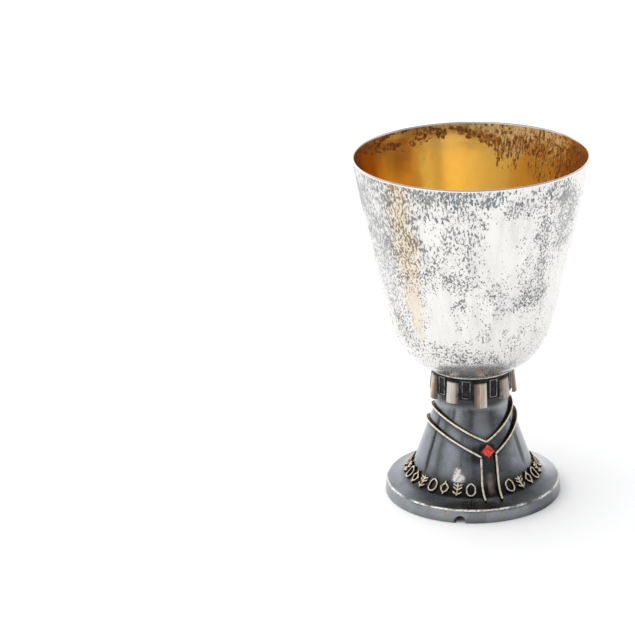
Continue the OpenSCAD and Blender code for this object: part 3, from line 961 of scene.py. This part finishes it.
def lathe_corner(points, soft):
    """Rounds each corner of an outline with three points."""
    made = []
    count = len(points)
    for i, p in enumerate(points):
        p = np.array(p, float)
        a = np.array(points[i - 1], float) - p
        b = np.array(points[(i + 1) % count], float) - p
        a, b = a / np.linalg.norm(a), b / np.linalg.norm(b)
        made += [p + a * soft, p + (a + b) * soft * 0.3, p + b * soft]
    return made + [made[0]]


def make_seat():
    """Disc under the cup, with a rounded edge."""
    z0, z1, r = SEAT_Z - SEAT_T, SEAT_Z, SEAT_R
    outline = [(0, z0), (r - 0.4, z0), (r - 0.1, z0 + 0.12), (r, z0 + 0.4), (r - 0.02, z1 - 0.3),
               (r - 0.15, z1 - 0.1), (r - 0.5, z1), (0, z1)]
    piece = revolve("seat_disc", outline, 192)
    dress(piece, "seat_silver", SEAT_METAL)
    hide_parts("cup_seat")


def make_drum():
    """Dark drum behind the bars, hollow above its floor."""
    inner = DRUM_R - 1.8
    corners = [(STUD_HOLE_R, DRUM_Z0), (DRUM_R, DRUM_Z0), (DRUM_R, DRUM_Z1), (inner, DRUM_Z1),
               (inner, DRUM_Z0 + 2), (STUD_HOLE_R, DRUM_Z0 + 2)]
    piece = revolve("drum", lathe_corner(corners, 0.3), 192)
    dress(piece, "dark_silver", BLACK)
    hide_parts("collar_drum")


def make_bar(i):
    """One stone bar: crowned face, ground edges, and a slightly uneven outline."""
    node = f"stone_bar_{i + 1}"
    low, high = node_box(node)
    z0, z1 = low.z, high.z
    angle = math.radians(BAR_START + i * 360 / BARS)
    out = np.array([math.sin(angle), -math.cos(angle), 0])
    aside = np.array([math.cos(angle), math.sin(angle), 0])
    across, up = 18, 24
    soft = 0.3
    rows = np.r_[0, 0.15, 0.5, np.linspace(1, up - 1, up - 1), up - 0.5, up - 0.15, up] / up
    cols = np.r_[-1, -0.975, -0.92, np.linspace(-0.82, 0.82, across), 0.92, 0.975, 1]

    def depth_at(x, v):
        side = max(0.0, abs(x) - (BAR_W / 2 - soft))
        end = max(0.0, soft - min(v, z1 - z0 - v))
        round_ = soft - math.sqrt(max(0.0, soft ** 2 - min(side, soft) ** 2))
        tip = soft - math.sqrt(max(0.0, soft ** 2 - min(end, soft) ** 2))
        return BAR_CROWN - math.sqrt(BAR_CROWN ** 2 - x * x) + max(round_, tip)

    face, rear = [], []
    for v in rows:
        z = z0 + v * (z1 - z0)
        face_r = DRUM_R + BAR_T + (BAR_TOP - z) * BAR_LEAN
        for x in cols * BAR_W / 2:
            drum_r = math.sqrt(DRUM_R ** 2 - x * x)
            here = x * aside + np.array([0, 0, z])
            face.append(here + max(face_r - depth_at(x, z - z0), drum_r + 0.05) * out)
            rear.append(here + (drum_r + 0.01) * out)
    chip = 0.05 * (noise_at(face, 2.2, 20 + i) - 1) + 0.03 * (noise_at(face, 0.9, 30 + i) - 1)
    points = np.vstack([np.array(face) + chip[:, None] * out, rear])
    front, back = np.arange(len(points)).reshape(2, len(rows), len(cols))
    sides = [front, back[:, ::-1], np.stack([back[:, 0], front[:, 0]], 1),
             np.stack([front[:, -1], back[:, -1]], 1), (back[0], front[0]), (front[-1], back[-1])]
    piece = new_piece(f"stone_{i + 1}", points, [quad for side in sides for quad in sheet(side)])
    # The third number picks the bar's side that takes painted shade.
    start, end, stained = BAR_BANDS[i]
    share = np.tile((cols + 1) / 2, 2 * len(rows))
    wander = 0.10 * noise_at(points * (1, 1, 0.15), 3, 40 + i)
    set_attribute(piece, "band", start + (end - start) * share + wander)
    # Painted shade on the chosen side of the bar.
    painted_side_shade = ease(stained * (2 * share - 1), 0.45, 0.9) * (0.85 + 0.4 * noise_at(points, 2, 50 + i))
    set_attribute(piece, "painted_side_shade", np.clip(painted_side_shade, 0, 1))
    dress(piece, "banded_stone", STONE)
    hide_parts(node)


def make_niche(i):
    """Fine wire frame in the gap beside a bar."""
    node = f"niche_frame_{i + 1}"
    low, high = node_box(node)
    inset = NICHE_WIRE / 2
    half = NICHE_W / 2 - inset
    z0, z1 = low.z + inset, high.z - inset
    middle = math.radians(BAR_START + (i + 0.5) * 360 / BARS)
    corners = [(-half, z0), (half, z0), (half, z1), (-half, z1)]
    line = []
    for a, b in zip(corners, corners[1:] + corners[:1]):
        line += [np.array(a) + (np.array(b) - a) * t for t in np.linspace(0.02, 0.98, 8)]
    path, normals = [], []
    for x, z in line:
        turn = middle + math.asin(x / DRUM_R)
        way = Vector((math.sin(turn), -math.cos(turn), 0))
        path.append(way * DRUM_R + Vector((0, 0, z)))
        normals.append(way)
    wire = strip(path, normals, NICHE_WIRE, NICHE_H, 0, True)
    piece = join_strips(f"niche_{i + 1}", [wire])
    dress(piece, "frame_wire", FRAME_METAL)
    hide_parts(node)


# ---- red stone ----

GEM_W, GEM_Z, GEM_TURN = 5.0, 28.9, 0.6
BEZEL_T = 0.25


def on_cone(points):
    """Moves points from a flat layout onto the front of the cone; their z points outwards."""
    at, normal = on_foot(0, GEM_Z)
    tilt = math.atan2(normal.z, -normal.y)
    turn = Matrix.Rotation(math.pi / 2 - tilt, 3, "X") @ Matrix.Rotation(math.pi / 4, 3, "Z")
    aside = Matrix.Rotation(math.radians(GEM_TURN), 3, "Z")
    return [tuple(aside @ (at + turn @ Vector(p))) for p in points]


def square_rings(rings, closed=False):
    """Square rings given as (half side, height), capped at both ends or closed to a loop."""
    points = [(half * x, half * y, height) for half, height in rings
              for x, y in ((-1, -1), (1, -1), (1, 1), (-1, 1))]
    grid = np.arange(len(points)).reshape(-1, 4)
    if closed:
        caps = []
        grid = np.vstack([grid, grid[:1]])
    else:
        caps = [grid[0, ::-1].tolist(), grid[-1].tolist()]
    return points, sheet(np.c_[grid, grid[:, 0]]) + caps


def bevelled(piece, width):
    """Rounds the piece's edges by so many millimetres."""
    edge = piece.modifiers.new("soft_edges", "BEVEL")
    edge.width = width * MM
    edge.segments = 2
    edge.limit_method = "ANGLE"
    edge.angle_limit = math.radians(12)


def make_gem():
    """Square stone with a rounded top and sides in a darker, shaded copy of its red, in a plain
    setting painted dark red as a reflection of the stone.
    """
    half = GEM_W / 2
    rings = [(half - 0.05, -0.25), (half - 0.05, 1.25), (half * 0.95, 1.5), (half * 0.87, 1.8),
             (half * 0.75, 2.08), (half * 0.6, 2.26), (half * 0.35, 2.35)]
    points, faces = square_rings(rings)
    zones = [1] * 12 + [0] * (len(faces) - 12)
    piece = new_piece("gem", on_cone(points), faces, zones, 50)
    bevelled(piece, 0.08)
    table = carnelian("carnelian", (0.42, 0.014, 0.010), (0.64, 0.045, 0.016), (0.80, 0.13, 0.04))
    # Darker copy of the red for the stone's sides and lower bevel: painted shade.
    shaded_sides = carnelian("carnelian_shaded_sides", (0.20, 0.008, 0.008), (0.36, 0.014, 0.010), (0.52, 0.03, 0.014))
    dress(piece, "red_gem", table, shaded_sides)
    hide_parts("red_stone")
    outer = half + BEZEL_T
    rings = [(outer, -0.3), (outer, 1.2), (outer - 0.1, 1.3), (half + 0.02, 1.3), (half, -0.3)]
    points, faces = square_rings(rings, True)
    piece = new_piece("bezel", on_cone(points), faces, None, 20)
    bevelled(piece, 0.06)
    # The setting's dark red is a painted reflection of the stone.
    metal = painted_light_metal("bezel_red_reflection", (0.04, 0.012, 0.01), (0.14, 0.028, 0.02), (0.28, 0.07, 0.045))
    dress(piece, "dark_silver", metal)
    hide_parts("stone_bezel")


# ---- CAD nodes that stay ----

def finish_cad_nodes():
    """Materials for the hidden fixings, which keep their CAD shapes."""
    for name, finish in (("cup_stud", STEEL), ("retaining_washer", STEEL),
                         ("retaining_nut", BRASS), ("foot_top_plate", PLATE)):
        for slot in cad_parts[name].material_slots:
            slot.material = finish


# ---- studio ----

CAMERA_TURN = math.radians(-16.4)
CAMERA_RISE = math.radians(16.85)
CAMERA_ROLL = math.radians(1.57)
CAMERA_DISTANCE = 1.26
LENS, SENSOR = 152.1, 36.0
AIM_LEFT, AIM_DOWN = 0.0726, 0.0759


def make_camera():
    """Looks from the front left and above; the chalice stands right of the middle of the view."""
    lip = Vector((0, 0, LIP_Z * MM))
    back = Vector((math.sin(CAMERA_TURN) * math.cos(CAMERA_RISE),
                   -math.cos(CAMERA_TURN) * math.cos(CAMERA_RISE), math.sin(CAMERA_RISE)))
    eye = lip + back * CAMERA_DISTANCE
    turn = (-back).to_track_quat("-Z", "Y").to_matrix()
    aim = lip - turn.col[0] * AIM_LEFT - turn.col[1] * AIM_DOWN
    look = (aim - eye).to_track_quat("-Z", "Y").to_matrix() @ Matrix.Rotation(-CAMERA_ROLL, 3, "Z")
    data = bpy.data.cameras.new("camera")
    data.lens = LENS
    data.sensor_width = SENSOR
    camera = bpy.data.objects.new("camera", data)
    camera.matrix_world = Matrix.Translation(eye) @ look.to_4x4()
    bpy.context.scene.collection.objects.link(camera)
    bpy.context.scene.camera = camera


def make_floor():
    """Wide white floor."""
    mesh = bpy.data.meshes.new("floor")
    size = 12.0
    mesh.from_pydata([(-size, -size, 0), (size, -size, 0), (size, size, 0), (-size, size, 0)],
                     [], [(0, 1, 2, 3)])
    floor = bpy.data.objects.new("floor", mesh)
    bpy.context.scene.collection.objects.link(floor)
    made, n = material("floor_white")
    n.surface(Base_Color=(0.9, 0.9, 0.9), Roughness=0.6)
    floor.data.materials.append(made)


# What stands round the chalice: angle from the camera's side, brightness on from there
ROOM = [(-180, 1.15), (-125, 1.0), (-116, 1.05), (-112, 0.3), (-106, 0.2), (-100, 0.9),
        (-86, 0.92), (-79, 0.55), (-71, 0.55), (-62, 0.9), (-48, 1.05), (-38, 0.9), (-29, 0.5),
        (-18, 0.32), (-8, 0.16), (4, 0.18), (12, 0.45), (30, 0.38), (56, 0.20), (66, 0.25),
        (76, 0.4), (90, 0.66), (100, 0.78), (110, 0.62), (120, 0.4), (132, 0.28), (141, 0.9),
        (150, 1.15), (180, 1.15)]
# and the same above 20 degrees
UPPER_ROOM = [(-180, 0.9), (-170, 1.0), (-160, 1.1), (-125, 1.1), (-117, 0.6), (-107, 0.58),
              (-95, 0.86), (-80, 0.8), (-66, 0.58), (-42, 0.5), (-34, 0.85), (-4, 1.05),
              (7, 0.45), (14, 0.3), (26, 0.3), (34, 0.65), (60, 0.6), (74, 0.62), (88, 0.56),
              (102, 0.58), (114, 0.7), (140, 0.7), (165, 0.8), (180, 0.95)]


def make_world():
    """A white sweep behind and beside the chalice, and a dim room behind the camera."""
    world = bpy.data.worlds.new("studio")
    bpy.context.scene.world = world
    world.use_nodes = True
    n = Nodes(world.node_tree)
    where = n.add("ShaderNodeTexCoord").outputs["Generated"]
    turned = n.add("ShaderNodeMapping", {"Vector": where, "Rotation": (0, 0, -CAMERA_TURN)})
    parts = n.add("ShaderNodeSeparateXYZ", {"Vector": turned.outputs[0]})
    x, y, z = parts.outputs
    turn = n.math("ARCTAN2", x, n.math("MULTIPLY", y, -1.0))
    share = n.math("MULTIPLY_ADD", turn, 0.5 / math.pi, 0.5)
    low, high = ([((at + 180) / 360, (b * 0.99, b, b * 1.02)) for at, b in stops]
                 for stops in (ROOM, UPPER_ROOM))
    room = n.mix(n.smooth(z, 0.29, 0.35), n.ramp(share, low), n.ramp(share, high))
    room = n.mix(n.smooth(z, 0.5, 0.8), room, (0.30, 0.30, 0.31))
    back = n.add("ShaderNodeBackground", {"Color": room, "Strength": 1.0})
    output = n.add("ShaderNodeOutputWorld")
    n.tree.links.new(back.outputs[0], output.inputs["Surface"])


def make_key_light():
    """Soft light from high on the left, seen only by what is not mirror-like."""
    data = bpy.data.lights.new("key", "SUN")
    data.energy = 3.0
    data.angle = math.radians(95)
    light = bpy.data.objects.new("key", data)
    way = Vector((-0.42, 0.10, 1.0)).normalized()
    light.rotation_euler = way.to_track_quat("Z", "Y").to_euler()
    light.visible_glossy = False
    bpy.context.scene.collection.objects.link(light)


def make_studio():
    """Surroundings, floor and light, and plain colours in the picture."""
    make_world()
    make_floor()
    make_key_light()
    bpy.context.scene.view_settings.view_transform = "Standard"


# ---- everything ----

# Wire flanks darker as painted shade; rubbed gilt wire tops lighter as a painted highlight.
WIRE_SIDE = wire_side()
WIRE_TOP = painted_light_metal("wire_top", (0.42, 0.31, 0.19), (0.86, 0.75, 0.55), (0.98, 0.94, 0.84))
MOTIF_TOP = painted_light_metal("motif_top", (0.20, 0.14, 0.09), (0.66, 0.54, 0.38), (0.94, 0.86, 0.72))
BLACK = blackened()
STONE = banded_stone()
FRAME_METAL = frame_metal()
SEAT_METAL = turned_metal("seat_edge", (0.5, 0.46, 0.42), (0.95, 0.91, 0.86))
STEEL = turned_metal("turned_steel", (0.3, 0.3, 0.3), (0.6, 0.6, 0.6))
BRASS = turned_metal("plain_brass", (0.4, 0.26, 0.09), (0.72, 0.53, 0.24))
PLATE = turned_metal("plate_oxidised", (0.1, 0.11, 0.12), (0.26, 0.27, 0.28))

make_camera()
make_studio()
make_cup()
make_foot()
make_band()
make_wires()
make_ornament()
make_seat()
make_drum()
for number in range(BARS):
    make_bar(number)
    make_niche(number)
make_gem()
finish_cad_nodes()
